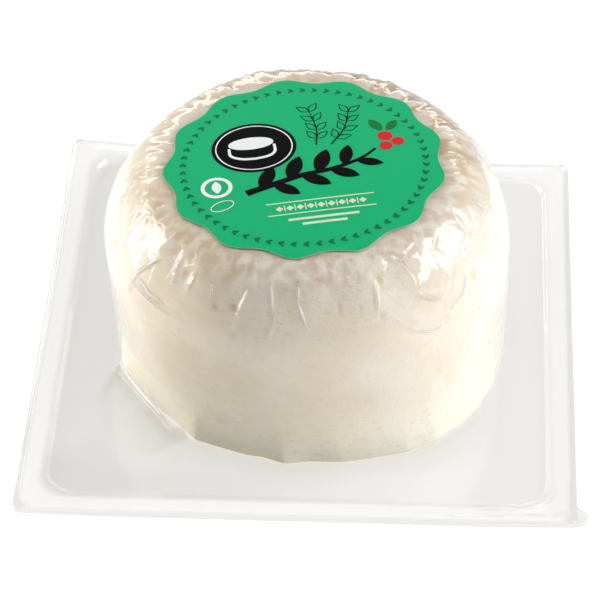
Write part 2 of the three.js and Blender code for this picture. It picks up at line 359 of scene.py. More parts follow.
def other_creases():
    """Short creases of the same kind round the rest of the shoulder."""
    draw = random.Random(SEED)
    made = []
    for _ in range(OTHER_CREASES):
        angle, top, length, drift, bend = drawn(draw, (-18, 205), (49, 56.5), (3.5, 9), (-3, 3), (-1.2, 1.2))
        line = [(angle, top), (angle + drift / 2 + bend, top - length / 2), (angle + drift, top - length)]
        made.append(crease(line, *drawn(draw, (0.45, 0.7), (0.25, 0.45))))
    return made


CREASES = seen_creases() + other_creases()

# Where the skin is crumpled: an angle in degrees, a height and a radius in millimetres, and how strongly
CRUMPLES = [
    (-142, 49, 15, 1.0), (-158, 52, 11, 0.8), (-175, 47, 14, 0.7), (-47, 51, 14, 1.5),
    (-24, 53, 12, 1.0), (18, 52, 13, 0.8), (74, 49, 14, 0.9), (128, 51, 13, 0.8),
    (170, 49, 11, 0.7),
]


# Farther than this from its start, in millimetres, a crease has no effect
CREASE_FAR = 24


def crease_at(angle, along, radius):
    """How far the creases lift the skin at a point, how far it lies beside the strongest one, in
    millimetres, and how strong that one is there."""
    total, beside, strength = 0, 0, 0
    for line, width, rise in CREASES:
        sideways = abs(turn_between(line[0][0], angle)) * radius
        if max(sideways, abs(line[0][1] - along)) > CREASE_FAR:
            continue
        reach = 3 * width + 0.6
        best, taper = reach, 1
        for index in range(len(line) - 1):
            start, end = line[index], line[index + 1]
            x, y = turn_between(start[0], angle) * radius, along - start[1]
            run, climb = turn_between(start[0], end[0]) * radius, end[1] - start[1]
            share = min(1, max(0, (x * run + y * climb) / (run * run + climb * climb)))
            away = hypot(x - share * run, y - share * climb)
            if away < best:
                best = away
                part = (index + share) / (len(line) - 1)
                taper = sqrt(max(0, 1 - (2 * part - 1) ** 2))
                side = away if x * climb - y * run > 0 else -away
        if best < reach:
            total = max(total, rise * (0.25 + 0.75 * taper) * bell(best / width))
            present = taper * smooth(2 - 2 * best / reach)
            if present > strength:
                beside, strength = side, present
    return total, beside, strength


def crumple_at(angle, along, radius):
    """How crumpled the skin is at a point, from 0 to 1."""
    share = 0
    for place, height, size, most in CRUMPLES:
        x = turn_between(radians(place), angle) * radius
        y = along - along_at(height)
        share = max(share, most * (1 - (x * x + y * y) / (size * size)))
    return share


# Where the mould's pattern fades in and out, and the length of its spots and its streaks, in millimetres
RIM_IN = 34
RIM_OUT = 43
SPOT_LENGTH = 3.4
STREAK_LENGTH = 7


def mottle(angle, along):
    """The soft uneven pattern that the mould leaves round the rim, from -1 to 1: spots at the front, and
    streaks down the shoulder at the back."""
    x, y = cos(angle), sin(angle)
    length = mix(SPOT_LENGTH, STREAK_LENGTH, behind(angle))
    broad = noise.noise(Vector((15 * x, 15 * y, along / length)))
    fine = noise.noise(Vector((33 * x, 33 * y, along * 2.2 / length)))
    return max(-1, min(1, 1.7 * broad + 0.8 * fine))


def behind(angle):
    return smooth(sin(angle) + 0.5)


def rim_share(along):
    """Where the mould's pattern shows: the outer crown and the upper shoulder."""
    return smooth((along - RIM_IN) / 3) * (1 - smooth((along - RIM_OUT) / 11))


# Curd pits of the cheese: an angle in degrees, a height, half sizes across and down, and a depth

SHOULDER_PITS = 46
WALL_PITS = 110


def curd_pits():
    pits = [
        (-114.2, 49, 1.1, 0.8, 0.5), (-108.2, 50.1, 1.4, 1.1, 0.6), (-107.8, 43.3, 1.3, 0.5, 0.35),
        (-76.6, 50.8, 0.6, 2.2, 0.3), (-62.7, 54.6, 0.9, 1.6, 0.3), (-64.6, 47, 0.8, 1.0, 0.35),
        (-56.3, 58.3, 1.4, 1.0, 0.25), (-53.4, 55.4, 1.0, 1.9, 0.25), (-57.2, 41.2, 1.3, 0.6, 0.35),
        (-127.1, 53.2, 0.9, 1.4, 0.5), (-82.4, 56.8, 1.2, 0.8, 0.25), (-52.3, 35, 1.2, 0.4, 0.25),
        (-74, 55.5, 1.3, 1.1, 0.2), (-148.4, 36.5, 0.9, 0.5, 0.25),
    ]
    draw = random.Random(SEED + 1)
    for _ in range(SHOULDER_PITS):
        height, angle, *size = drawn(draw, (38, 58), (-35, 200), (0.6, 1.5), (0.5, 1.6), (0.2, 0.5))
        pits.append((angle, height, *size))
    for _ in range(WALL_PITS):
        spans = (4, 44), (0.3, 0.8), (0.2, 0.45), (-180, 180), (0.1, 0.24)
        height, wide, tall, angle, deep = drawn(draw, *spans)
        pits.append((angle, height, wide, tall, deep))
    return [(radians(angle), along_at(height), wide, tall, deep) for angle, height, wide, tall, deep in pits]


PITS = curd_pits()


def pit_depth(angle, along, radius):
    deepest = 0
    for place, middle, wide, tall, deep in PITS:
        y = (along - middle) / tall
        if abs(y) < 2.2:
            x = turn_between(place, angle) * radius / wide
            if abs(x) < 2.2:
                deepest = max(deepest, deep * bell(1.15 * hypot(x, y)))
    return deepest


# Meshes


FRONT_CROWDING = 0.36
SKIN_COLUMNS = 430
CHEESE_COLUMNS = 400
SHEET_COLUMNS = 560
LABEL_COLUMNS = SCALLOPS * 16

# Lengths along the outline: the close stations start near the label's rim, and the wall lies past the
# shoulder. Up to RIM_TO a point can still lie under the label.
CROWN_STOPS = [0, 9, 18, 25, 30]
DENSE_FROM = 33
RIM_TO = 50
WALL_FROM = 72
SKIN_STEPS = (0.8, 1.5)
CHEESE_STEPS = (0.75, 0.9)


def linked(name, data):
    """A new object of the scene."""
    made = bpy.data.objects.new(name, data)
    bpy.context.scene.collection.objects.link(made)
    return made


def meshed(name, maker, looks):
    """A new object with the maker's mesh, which is used up, and with its materials."""
    mesh = bpy.data.meshes.new(name)
    maker.to_mesh(mesh)
    maker.free()
    for material in looks:
        mesh.materials.append(material)
    return linked(name, mesh)


def new_piece(name, maker, looks, replaced=(), thickness=0, rim=0, smooth_shaded=True):
    """A shown piece: its mesh in metres, its materials and its body, with the frame's parts that it stands
    for hidden. A thickness in millimetres goes inward from the mesh, and its rim takes the material that many
    places on."""
    piece = meshed(name, maker, looks)
    if smooth_shaded:
        piece.data.shade_smooth()
    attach(piece, BODY)
    if replaced:
        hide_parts(*replaced)
    if thickness:
        shell = piece.modifiers.new("thickness", "SOLIDIFY")
        shell.thickness = thickness * MM
        shell.offset = -1
        shell.use_even_offset = False
        shell.material_offset_rim = rim


def turned(columns, stations, place, closed=False, values=()):
    """A skin turned round the axis. place(angle, station) gives each vertex in millimetres, and the
    numbers that its finish reads there, where there are any."""
    maker = bmesh.new()
    mark = maker.verts.layers.int.new("station")
    layers = [maker.verts.layers.float.new(name) for name in values]
    for station in range(stations):
        radius = stations - 1 - station if closed and station > stations // 2 else station
        maker.verts.new((radius, 0, -station))[mark] = station
    for ends in zip(maker.verts[:], maker.verts[1:]):
        maker.edges.new(ends)
    profile = maker.verts[:] + maker.edges[:]
    bmesh.ops.spin(maker, geom=profile, axis=(0, 0, 1), angle=2 * pi, steps=columns, use_merge=True)
    bmesh.ops.remove_doubles(maker, verts=maker.verts[:], dist=1e-4)
    for vertex in maker.verts:
        placed = place(atan2(vertex.co.y, vertex.co.x), vertex[mark])
        if layers:
            placed, numbers = placed
            for layer, number in zip(layers, numbers):
                vertex[layer] = number
        vertex.co = placed * MM
    bmesh.ops.recalc_face_normals(maker, faces=maker.faces[:])
    return maker


def crowded(angle):
    """Moves columns towards the front, where the finest creases are."""
    return angle - FRONT_CROWDING * sin(angle + pi / 2)


def dense_stops(steps):
    """Lengths along the outline: a few under the label, then close ones down to the foot."""
    shoulder_step, wall_step = steps
    last = along_at(FOOT_TOP + 0.3)
    shoulder = round((WALL_FROM - DENSE_FROM) / shoulder_step)
    wall = round((last - WALL_FROM) / wall_step)
    stops = [mix(DENSE_FROM, WALL_FROM, index / shoulder) for index in range(shoulder)]
    low = [last - back for back in (0.8, 0.4, 0.15, 0)]
    return CROWN_STOPS + stops + [mix(WALL_FROM, last - 1.5, index / wall) for index in range(wall + 1)] + low


def label_distance(angle, radius):
    """How far a point of the drum's top lies from the label's middle."""
    x, y = polar(radius, angle)
    return hypot(x - LABEL_X, y - LABEL_Y)


# How much of the depth of a pit the cheese and the skin take up, and of the lift of a crease the skin
CHEESE_PIT = 0.5
SKIN_PIT = 0.15
SKIN_CREASE = 0.6


def drum_surface(angle, along, film):
    """A point of the skin's outside with its wrinkles, or of the cheese below it with its pits, and the
    numbers that the finish reads there."""
    radius, height, (out_x, out_z) = on_drum(along)
    depth = 0 if film else mix(FOOT_DEPTH, CHEESE_DEPTH, smooth((height - FOOT_TOP) / 10))
    rough = Vector((*polar(radius, angle), height))
    share, clear = 1, 1
    if along < RIM_TO:
        share = smooth((radius - CROWN_RADIUS) / EVEN_RIM)
        clear = smooth((label_distance(angle, radius) - LABEL_RADIUS - 1) / 2)
    speckle = mottle(angle, along)
    rise = unevenness(angle, height) * share - depth
    rise += ((0.15 if film else 0.22) + 0.3 * behind(angle)) * rim_share(along) * speckle * clear
    pit, beside, fold, crumple = 0, 0, 0, 0
    if along > DENSE_FROM:
        pit = pit_depth(angle, along, radius)
        if not film:
            rise -= pit * CHEESE_PIT
        elif along < WALL_FROM:
            rise -= pit * SKIN_PIT
    if film and along > DENSE_FROM:
        lift, beside, fold = crease_at(angle, along, radius)
        crumple = clear * max(0, crumple_at(angle, along, radius))
        slack = 0.12 + 0.12 * noise.noise(rough / 7.5) + 0.08 * noise.noise(rough / 3.3)
        rise += clear * (SKIN_CREASE * lift + slack * crumple + 0.04 * noise.noise(rough / 3.1))
        fold *= clear
    radius, height = radius + out_x * rise, height + out_z * rise
    if along > WALL_FROM:
        radius = tented(radius, height, angle, film)
    place = leaned(*polar(radius, angle), height)
    if film:
        return place, (beside, fold, crumple, haze_and_shadow_at(angle, height))
    back = behind(angle)
    # The mould's mottle darkens the rim's colour in its dips, more at the back and more again at the right of
    # the back: partly the mould's own colour, partly painted shade
    mottle_and_shade = smooth(0.5 - 1.1 * speckle) * mix(0.65, 1, back) * (1 + 0.6 * cos(angle) * back)
    # The finish's numbers: the pit's depth, which the pits' painted shade follows, and the rim's mottle with
    # its painted shade
    return place, (min(1, pit / 0.5), rim_share(along) * mottle_and_shade)


def haze_and_shadow_at(angle, height):
    """How much of the skin's darker tint shows low on the wall, from 0 to 1: most where it stands free of the
    cheese and is milky; elsewhere it is painted shade, more at the front.
    """
    free = smooth((foot_radius(angle, True) - foot_radius(angle, False) - 0.5) / 1.4)
    most = mix(mix(0.12, 0.45, smooth((-sin(angle) - 0.3) / 0.5)), 1, free)
    return most * smooth((mix(1.6, 4.5, free) - height) / mix(1, 2, free))


# Folds of the skin beside the peel tab: a middle, a rise, half a length and the distance from the edge
EDGE_FOLDS = [(52, 1.6, 13, 2.6), (60, 1.3, 11, 1.5), (40, 0.7, 22, 5.6)]
EDGE_FOLD_STRENGTH = 0.35
# Below this height, in millimetres, the skin's finish is the plainer one
EVEN_BELOW = 26


def film_piece(looks):
    """The skin of film: over the drum, out over its fillet, the pocket's floor, the flange and the lip. Its
    looks are for its low part, its shoulder and where it is crumpled."""
    stops = dense_stops(SKIN_STEPS)
    fillet = 3
    around = [1, 2.2, 3.8]
    stations = len(stops) + fillet + len(around) + 1 + len(RINGS)

    def place(raw_angle, station):
        angle = crowded(raw_angle)
        if station < len(stops):
            return drum_surface(angle, stops[station], True)
        station -= len(stops)
        foot = foot_radius(angle, True)
        haze_and_shadow = haze_and_shadow_at(angle, 0)
        if station < fillet:
            turn = pi / 2 * (station + 1) / fillet
            radius = foot + FILLET * (1 - cos(turn))
            height = FLOOR_FILM + FILLET * (1 - sin(turn))
            return near_floor(radius, angle, height), (0, 0, 0, haze_and_shadow)
        station -= fillet
        start = near_floor(foot + FILLET, angle)
        end = sheet_point(angle, FLOOR_INSET)
        gap = hypot(end.x - start.x, end.y - start.y)
        ways = around + [mix(around[-1], gap, 0.5)]
        if station < len(ways):
            inset, away = FLOOR_INSET, ways[station]
            x, y = mix(start.x, end.x, away / gap), mix(start.y, end.y, away / gap)
        else:
            inset = RINGS[station - len(ways)]
            x, y = sheet_point(angle, inset)
            away = gap + FLOOR_INSET - inset
        # Painted shadow: the darker tint fades out across the floor away from the foot
        haze_and_shadow *= (1 - min(1, away / SHADOW_REACH)) ** 2
        ripple = 0.04 * noise.noise(Vector((x, y, 0)) / 7) * smooth((inset - 1) / 4)
        height = sheet_height(x, y, inset) + FLOOR_FILM + ripple + front_pucker(x, y, inset)
        return Vector((x, y, height)), (*edge_fold(x, y, inset), 0, haze_and_shadow)

    maker = turned(SKIN_COLUMNS, stations, place, values=("beside", "fold", "crumple", "haze_and_shadow"))
    crumple = maker.verts.layers.float["crumple"]
    for face in maker.faces:
        if any(vertex[crumple] > 0 for vertex in face.verts):
            face.material_index = 2
        elif any(vertex.co.z > EVEN_BELOW * MM for vertex in face.verts):
            face.material_index = 1
    new_piece("skin_film", maker, looks, ["top_film"], SKIN_THICKNESS)


def edge_fold(x, y, inset):
    """The skin's long folds beside the peel tab: how far a point lies beside one, and how strong it is."""
    if y > -60:
        return 0, 0
    best, strength = 9, 0
    for middle, rise, spread, base in EDGE_FOLDS:
        beside = inset - base - rise * bell((x - middle) / spread)
        if abs(beside) < abs(best):
            best, strength = beside, bell((x - middle) / (spread * 1.6))
    return best, EDGE_FOLD_STRENGTH * strength * smooth(3 - 2 * abs(best))


def front_pucker(x, y, inset):
    """The skin's edge bows up a little beside the peel tab."""
    if y > 0:
        return 0
    along = bell((x - 57) / 13)
    return 0.5 * along * smooth((6.5 - inset) / 3) * smooth((-y - 60) / 12)


def cheese_piece(looks):
    """The cheese itself, closed below."""
    stops = dense_stops(CHEESE_STEPS)
    under = 5
    stations = len(stops) + under + 3

    def place(raw_angle, station):
        angle = crowded(raw_angle)
        if station < len(stops):
            return drum_surface(angle, stops[station], False)
        station -= len(stops)
        wall = foot_radius(angle, False) - FOOT_DEPTH
        if station < under:
            turn = pi / 2 * (station + 1) / under
            radius = wall - ROUND_UNDER * (1 - cos(turn))
            height = CHEESE_FLOOR + (FOOT_TOP - CHEESE_FLOOR) * (1 - sin(turn))
        else:
            radius = (wall - ROUND_UNDER) * (0.66, 0.33, 0)[station - under]
            height = CHEESE_FLOOR
        return near_floor(radius, angle, height), (0, 0)

    maker = turned(CHEESE_COLUMNS, stations, place, closed=True, values=("pit", "rim"))
    new_piece("cheese_drum", maker, looks, ["cheese"])


# How much of the sheet's darker tint, which is painted shade, shows on the pocket's floor and on the lip
POCKET_SHADE = 0.42
LIP_SHADE = 0.6


def sheet_piece(looks):
    """The clear formed sheet with its pocket, rib, lip and the ear of the peel tab. Its looks are for its
    faces and its cut edge."""
    insets = [60, 40, 24] + RINGS

    def place(angle, station):
        if station == 0:
            return Vector((0, 0, SHEET_THICKNESS)), (POCKET_SHADE,)
        inset = insets[station - 1]
        x, y = sheet_point(angle, inset)
        height = sheet_height(x, y, inset) + SHEET_THICKNESS
        if inset < 1.2 and x > 0:
            across = (y + SHEET_DEPTH / 2 * (1 - SHEET_TAPER) - TAB_HALF) / TAB_HALF
            if abs(across) < 1:
                ear = TAB_REACH * sqrt(1 - across * across)
                x += ear * (1 - inset / 1.2)
        # Painted shade: the sheet is darker towards its left front and lighter towards its right
        shaded = 0.3 * smooth((-48 - y) / 14) * smooth((30 - x) / 60) - 0.15 * x / 60
        tone = (POCKET_SHADE + shaded) * smooth((inset - 5) / 2.5) + LIP_SHADE * smooth((2.3 - inset) / 1.1)
        return Vector((x, y, height)), (tone,)

    maker = turned(SHEET_COLUMNS, len(insets) + 1, place, values=("tone",))
    new_piece("clear_sheet", maker, looks, ["base_sheet"], SHEET_THICKNESS, rim=1)


def label_place(u, v, lift):
    """A point of the label's own plane, laid on the crown and bent down over the shoulder."""
    x, y = LABEL_X + u, LABEL_Y + v
    return leaned(x, y, crown_height(hypot(x, y)) + LABEL_GAP + lift)


def label_piece(looks):
    rings = 22

    def place(angle, station):
        share = station / rings
        wave = SCALLOP_DEPTH * cos(SCALLOPS * (angle - SCALLOP_TURN))
        radius = share * LABEL_RADIUS + wave * share**3
        return label_place(*polar(radius, angle), LABEL_THICKNESS)

    maker = turned(LABEL_COLUMNS, rings + 1, place)
    new_piece("paper_label", maker, looks, ["label"], LABEL_THICKNESS, 1, smooth_shaded=False)


# Print on the label: flat shapes in millimetres, cut small and laid on the paper


class Print:
    """One colour of print. Its shapes are drawn flat in the label's plane, then laid on the paper."""

    thickness = 0.02
    cut = 2.0

    def __init__(self, lift):
        self.maker = bmesh.new()
        self.lift = lift
        self.shapes = 0

    def _raise(self, vertices):
        self.shapes += 1
        for vertex in vertices:
            vertex.co.z = 0.0006 * self.shapes

    def _circle(self, sides, filled=True):
        circle = bmesh.ops.create_circle(self.maker, cap_ends=filled, radius=1, segments=sides)
        return circle["verts"]

    def disc(self, x, y, wide, tall, sides=56):
        made = self._circle(sides)
        self._move(made, x, y, wide, tall, 0)
        self._raise(made)

    def _move(self, vertices, x, y, wide, tall, turn):
        spot = Matrix.Translation((x, y, 0)) @ Matrix.Rotation(radians(turn), 4, "Z")
        shape = spot @ Matrix.Diagonal((wide, tall, 1, 1))
        bmesh.ops.transform(self.maker, matrix=shape, verts=vertices)

    def ring(self, x, y, wide, tall, band, turn=0):
        outer, inner = self._circle(72, False), self._circle(72, False)
        self._move(outer, x, y, wide, tall, turn)
        self._move(inner, x, y, wide - band, tall - band, turn)
        edges = {edge for vertex in outer + inner for edge in vertex.link_edges}
        bmesh.ops.bridge_loops(self.maker, edges=list(edges))
        self._raise(outer + inner)

    def leaf(self, x, y, length, width, turn, sides=20):
        """A lens with a point at both ends, its stalk end at x, y."""
        made = self._circle(sides)
        for vertex in made:
            vertex.co.y *= (1 - vertex.co.x**2) ** 0.35 if abs(vertex.co.x) < 1 else 0
        half = length / 2
        turn_by = radians(turn)
        self._move(made, x + half * cos(turn_by), y + half * sin(turn_by), half, width / 2, turn)
        self._raise(made)

    def box(self, x, y, wide, tall, turn=0):
        made = bmesh.ops.create_grid(self.maker, x_segments=1, y_segments=1, size=1)["verts"]
        self._move(made, x, y, wide / 2, tall / 2, turn)
        self._raise(made)

    def stroke(self, line, start, middle, end):
        """A band along a smooth line through the points, its width given at three places."""
        points = smooth_line(line)
        last = len(points) - 1
        made = bmesh.ops.create_grid(self.maker, x_segments=last, y_segments=1, size=1)["verts"]
        made.sort(key=lambda vertex: (vertex.co.x, vertex.co.y))
        for index, point in enumerate(points):
            share = index / last
            width = mix(start, middle, share * 2) if share < 0.5 else mix(middle, end, share * 2 - 1)
            ahead = points[min(last, index + 1)] - points[max(0, index - 1)]
            side = Vector((-ahead.y, ahead.x)).normalized() * width / 2
            made[2 * index].co = (*(point - side), 0)
            made[2 * index + 1].co = (*(point + side), 0)
        self._raise(made)

    def laid(self, name, finish):
        """Cuts the shapes into small pieces, lays them on the label and gives them a thickness."""
        reach = LABEL_RADIUS + 2
        steps = int(2 * reach / self.cut)
        for index in range(steps + 1):
            at = -reach + index * self.cut
            for normal in ((1, 0, 0), (0, 1, 0)):
                shapes = self.maker.verts[:] + self.maker.edges[:] + self.maker.faces[:]
                middle = Vector(normal) * at
                bmesh.ops.bisect_plane(self.maker, geom=shapes, plane_co=middle, plane_no=normal)
        turn = Matrix.Rotation(PRINT_TURN, 2)
        for vertex in self.maker.verts:
            u, v = turn @ vertex.co.xy
            vertex.co = label_place(u, v, LABEL_THICKNESS + self.lift + vertex.co.z) * MM
        self.maker.normal_update()
        for face in self.maker.faces:
            if face.normal.z < 0:
                face.normal_flip()
        new_piece(name, self.maker, [finish], thickness=self.thickness, smooth_shaded=False)


def smooth_line(line):
    """A close run of points on a smooth curve through the given ones."""
    points = [Vector(point) for point in line]
    padded = [2 * points[0] - points[1]] + points + [2 * points[-1] - points[-2]]
    run = []
    for index in range(1, len(padded) - 2):
        before, start, end, after = padded[index - 1 : index + 3]
        for step in range(8):
            t = step / 8
            bend = (2 * before - 5 * start + 4 * end - after) * t * t
            twist = (3 * start - before - 3 * end + after) * t**3
            run.append(0.5 * (2 * start + (end - before) * t + bend + twist))
    return run + [points[-1]]


def rim_print(ink):
    """A fine wreath of small leaves round the rim."""
    count = 62
    for index in range(count):
        turn = 360 * index / count
        for side in (1, -1):
            ink.leaf(*polar(32.9 + 0.35 * side, radians(turn)), 2.1, 0.85, turn + 90 + 38 * side)


def medal_print(black, white):
    """A dark round medal with a cheese and its cut wedge in white."""
    x, y = -12.5, 9.5
    black.disc(x, y, 11.6, 10.6)
    white.ring(x, y, 10.6, 9.6, 0.35)
    white.disc(x - 0.6, y + 1.9, 6.2, 2.6)
    left_side = [(x - 6.8, y + 0.6), (x - 6.6, y - 2.6), (x - 3.8, y - 4.4), (x, y - 4.9)]
    right_side = [(x - 0.2, y - 4.9), (x + 3.4, y - 4.3), (x + 5.4, y - 2.6), (x + 5.6, y + 0.6)]
    white.stroke(left_side, 0.7, 0.9, 0.9)
    white.stroke(right_side, 0.9, 0.9, 0.7)
    black.stroke([(x + 0.1, y + 1.7), (x + 3, y + 0.4), (x + 6, y - 0.6)], 0.5, 1.6, 2.4)


def branch_print(black):
    """A bold brushed branch across the middle, with thick leaves."""
    stem = [(-17, -9.5), (-9, -7), (-1, -4.6), (7, -3.4), (15, -0.5), (20, 3.2)]
    black.stroke(stem, 2.4, 1.7, 0.7)
    leaves = [
        (-13, -8.2, 9.5, 4.2, 62), (-9.5, -7, 8.5, 3.8, -38), (-5, -5.8, 10, 4.4, 66),
        (-1.5, -4.6, 9, 4.0, -34), (3, -4.2, 10, 4.4, 68), (6.5, -3.5, 8.5, 3.8, -28),
        (10.5, -2.3, 8.5, 3.7, 74), (14, -1, 7.5, 3.2, -18),
    ]
    for leaf in leaves:
        black.leaf(*leaf, sides=28)


def herb_print(black):
    """A fine line drawing of herbs in the upper right."""
    stems = [
        [(4.4, 7.5), (5.4, 15), (4.4, 23.5)],
        [(8.4, 7), (13, 13.5), (15.4, 21.5)],
    ]
    for stem in stems:
        black.stroke(stem, 0.4, 0.35, 0.2)
        points = smooth_line(stem)
        for index in range(3, len(points), 4):
            ahead = points[index] - points[index - 1]
            heading = degrees(atan2(ahead.y, ahead.x))
            for side in (42, -42):
                outline(black, points[index], 4.4, 2.0, heading + side)


def outline(ink, root, length, width, turn):
    """A leaf drawn in line."""
    along = Vector(polar(1, radians(turn)))
    across = Vector((-along.y, along.x))
    for side in (1, -1):
        bulge = root + along * length * 0.45 + across * side * width / 2
        ink.stroke([root, bulge, root + along * length], 0.18, 0.3, 0.18)


def border_print(cream):
    """Cream rules and a row of lozenges in the lower part."""
    cream.box(2, -15.2, 29, 0.4)
    for index in range(9):
        x = -9.2 + 2.8 * index
        cream.box(x, -17.6, 1.5, 1.5, 45)
        if index < 8:
            cream.box(x + 1.4, -17.6, 0.3, 2.4)
    cream.box(2, -20, 29, 0.4)
    for index, width in enumerate((19, 12)):
        cream.box(2, -22.4 - 2.1 * index, width, 0.9)


def berry_print(red, leaf_green):
    """Three red berries with two dark green leaves at the right."""
    for x, y, size in ((23.4, 8.2, 2.1), (26.5, 5.4, 1.8), (23, 3.9, 1.8)):
        red.disc(x, y, size, size, sides=32)
    leaf_green.leaf(22.9, 10.8, 5.8, 3.0, 118)
    leaf_green.leaf(24.2, 10.6, 5.2, 2.7, 50)


def seal_print(white):
    """A plain white ring with a drop in it, and a thin lozenge, at the left."""
    white.ring(-24.6, -5.6, 4.3, 4.3, 1.1)
    white.leaf(-24.6, -8, 5, 2.6, 90)
    white.ring(-24, -13.4, 3.4, 1.9, 0.25, 20)


# Finishes: shader sums are written as Python sums


class Value:
    """A number socket of a shader, with Math nodes added by Python's operators."""

    def __init__(self, finish, socket):
        self.finish = finish
        self.socket = socket

    def math(self, operation, *others, clamp=False):
        sockets = {index + 1: other for index, other in enumerate(others)}
        settings = {"operation": operation, "use_clamp": clamp}
        node = self.finish.node("ShaderNodeMath", settings, {0: self, **sockets})
        return Value(self.finish, node.outputs[0])

    __add__ = __radd__ = partialmethod(math, "ADD")
    __mul__ = __rmul__ = partialmethod(math, "MULTIPLY")
    __sub__ = partialmethod(math, "SUBTRACT")
    __truediv__ = partialmethod(math, "DIVIDE")
    __pow__ = partialmethod(math, "POWER")
    absolute = partialmethod(math, "ABSOLUTE")
    clamped = partialmethod(math, "ADD", 0.0, clamp=True)

    def __rsub__(self, other):
        return (self * -1) + other

    def __rtruediv__(self, other):
        return self**-1 * other

    def __neg__(self):
        return self * -1


class Finish:
    """One material. node() adds any node with its settings and the values or links of its sockets."""

    def __init__(self, name):
        self.material = bpy.data.materials.new(name)
        self.material.use_nodes = True
        self.tree = self.material.node_tree
        self.tree.nodes.clear()
        self.output = self.node("ShaderNodeOutputMaterial")
        self.coordinates = self.node("ShaderNodeTexCoord").outputs["Object"]

    def node(self, kind, settings=None, sockets=None):
        node = self.tree.nodes.new(kind)
        for name, setting in (settings or {}).items():
            setattr(node, name, setting)
        for name, value in (sockets or {}).items():
            socket = node.inputs[name]
            if isinstance(value, Value):
                value = value.socket
            if isinstance(value, bpy.types.NodeSocket):
                self.tree.links.new(value, socket)
            else:
                socket.default_value = value
        return node

    def value(self, socket):
        return Value(self, socket)

    def noise(self, scale, detail=3, rough=0.55, stretch=None, offset=(0, 0, 0)):
        """Noise from 0 to 1, its scale in features for each metre."""
        where = self.coordinates
        if stretch or any(offset):
            shift = {"Scale": stretch or (1, 1, 1), "Location": offset}
            where = self.node("ShaderNodeMapping", None, {"Vector": where, **shift}).outputs["Vector"]
        settings = {"Vector": where, "Scale": scale, "Detail": detail, "Roughness": rough}
        return self.value(self.node("ShaderNodeTexNoise", None, settings).outputs["Fac"])

    def vector(self, operation, first, second):
        """The outputs of a Vector Math node."""
        return self.node("ShaderNodeVectorMath", {"operation": operation}, {0: first, 1: second}).outputs

    def facets(self, scale, stretch):
        """Flat facets with a random tilt each: their height in millimetres, and how far a point lies from
        the nearest line between two, as a share of a facet's size."""
        where = self.vector("MULTIPLY", self.coordinates, stretch)[0]
        sockets = {"Vector": where, "Scale": scale}
        cell = self.node("ShaderNodeTexVoronoi", None, sockets).outputs
        lines = self.node("ShaderNodeTexVoronoi", {"feature": "DISTANCE_TO_EDGE"}, sockets).outputs
        tilt = self.vector("SUBTRACT", cell["Color"], (0.5, 0.5, 0.5))[0]
        reach = self.vector("SUBTRACT", where, cell["Position"])[0]
        height = self.vector("DOT_PRODUCT", tilt, reach)["Value"]
        return self.value(height) / MM, self.value(lines["Distance"])

    def attribute(self, name):
        return self.value(self.node("ShaderNodeAttribute", {"attribute_name": name}).outputs["Fac"])

    def height(self, axis=2):
        """How high a point lies above the ground, or how far along another axis, in millimetres."""
        parts = self.node("ShaderNodeSeparateXYZ", None, {"Vector": self.coordinates})
        return self.value(parts.outputs[axis]) / MM

    def blend(self, share, low, high):
        """A colour between two colours."""
        node = self.node("ShaderNodeMix", {"data_type": "RGBA"}, {0: share, 6: low, 7: high})
        return node.outputs[2]

    def mixed(self, share, first, second):
        """A shader between two shaders."""
        sockets = {0: share.clamped(), 1: first.outputs[0], 2: second.outputs[0]}
        return self.node("ShaderNodeMixShader", None, sockets)

    def step(self, value, low, high):
        """0 below low, 1 above high, smooth between."""
        settings = {"interpolation_type": "SMOOTHSTEP"}
        sockets = {"Value": value, "From Min": low, "From Max": high}
        return self.value(self.node("ShaderNodeMapRange", settings, sockets).outputs["Result"])

    def bump(self, height, strength, distance):
        sockets = {"Height": height, "Strength": strength, "Distance": distance}
        return self.node("ShaderNodeBump", None, sockets).outputs["Normal"]

    def principled(self, sockets):
        return self.surface(self.node("ShaderNodeBsdfPrincipled", None, sockets))

    def surface(self, shader):
        self.tree.links.new(shader.outputs[0], self.output.inputs["Surface"])
        return self.material


def shade(red, green, blue):
    """An sRGB colour of 0 to 255 as the linear values that shaders take."""
    parts = [value / 255 for value in (red, green, blue)]
    return (*[part / 12.92 if part <= 0.04045 else ((part + 0.055) / 1.055) ** 2.4 for part in parts], 1)


